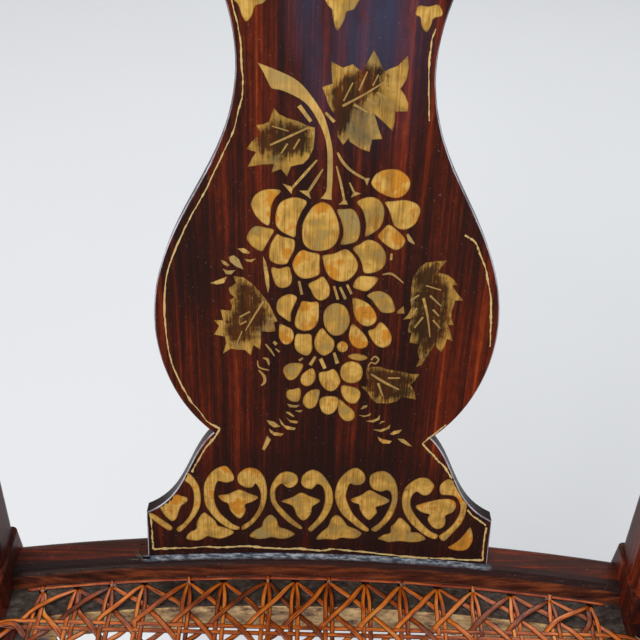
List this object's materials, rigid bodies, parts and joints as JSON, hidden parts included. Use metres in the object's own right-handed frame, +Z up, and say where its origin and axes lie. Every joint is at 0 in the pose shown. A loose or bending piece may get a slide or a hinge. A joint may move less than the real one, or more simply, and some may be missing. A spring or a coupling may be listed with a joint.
{
  "type": "painted side chair",
  "caption": "Painted side chair: stenciled vase-shaped splat, bowed crest rail, woven cane seat with a binder, turned legs and stretchers",
  "frame": {"origin": "on the floor, below the middle of the chair's box", "axes": "+Z up, the sitter faces -Y, +X to the right of someone standing in front and looking at the chair's front from -Y"},
  "size_m": [0.461, 0.4976, 0.8457],
  "materials": {
    "painted_wood": "painted and grained to look like rosewood, gold stencils, varnished",
    "seat_cane": "split rattan cane, glossy and aged orange brown",
    "cane_peg": "bare softwood, aged",
    "pin_wood": "painted over with the frame"
  },
  "bodies": {
    "root": {"rear_rail": "painted_wood", "side_rail_left": "painted_wood", "side_rail_right": "painted_wood", "front_rail": "painted_wood", "rear_post_left": "painted_wood", "rear_post_right": "painted_wood", "splat": "painted_wood", "crest_rail": "painted_wood", "front_leg_left": "painted_wood", "front_leg_right": "painted_wood", "front_stretcher_upper": "painted_wood", "front_stretcher_lower": "painted_wood", "side_stretcher_upper_left": "painted_wood", "side_stretcher_upper_right": "painted_wood", "side_stretcher_lower_left": "painted_wood", "side_stretcher_lower_right": "painted_wood", "rear_stretcher": "painted_wood", "crest_pins": "pin_wood", "rear_rail_pins": "pin_wood", "side_rail_pins": "pin_wood", "cane_front_to_back": "seat_cane", "cane_side_to_side": "seat_cane", "cane_slant_right": "seat_cane", "cane_slant_left": "seat_cane", "cane_binder": "seat_cane", "cane_binder_loops": "seat_cane", "cane_hole_pegs": "cane_peg"}
  },
  "joints": []
}
